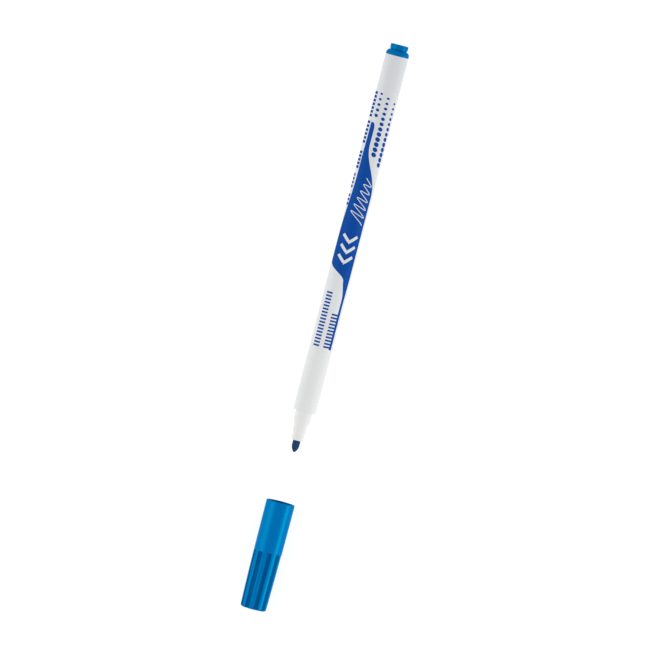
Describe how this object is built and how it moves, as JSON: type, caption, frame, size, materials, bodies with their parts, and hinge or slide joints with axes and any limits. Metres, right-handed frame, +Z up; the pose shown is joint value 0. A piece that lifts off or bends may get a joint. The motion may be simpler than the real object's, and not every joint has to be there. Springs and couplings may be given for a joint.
{
  "type": "whiteboard marker",
  "caption": "Slim round whiteboard marker lying flat with its fluted push-on cap off and in line, stepped nose, bullet nib, stepped tail plug and ink reservoir inside.",
  "frame": {"origin": "on the surface the marker lies on, under the middle of the whole laid-out marker with the cap off", "axes": "+X along the marker from the cap towards the tail, +Z up, with the label side of the barrel facing +Z"},
  "size_m": [0.2, 0.01, 0.01],
  "materials": {
    "barrel_plastic": "satin white, with printed ink on the label side",
    "nose_plastic": "satin white",
    "nib_felt": "ink-soaked sintered felt",
    "reservoir_fibre": "ink-soaked fibre bundle",
    "reservoir_film": "clear wrap film",
    "plug_plastic": "moulded blue",
    "cap_plastic": "moulded blue, satin gloss",
    "seal_plastic": "soft moulded blue"
  },
  "bodies": {
    "pen": {"barrel": "barrel_plastic", "nib_holder": "nose_plastic", "nib": "nib_felt", "ink_reservoir": "reservoir_fibre", "reservoir_film": "reservoir_film", "tail_plug": "plug_plastic"},
    "cap": {"cap": "cap_plastic", "cap_seal": "seal_plastic"}
  },
  "joints": [
    {"name": "cap_slide", "type": "slide", "parent": "pen", "child": "cap", "axis": [1, 0, 0], "range_m": [0, 0.0535]}
  ]
}
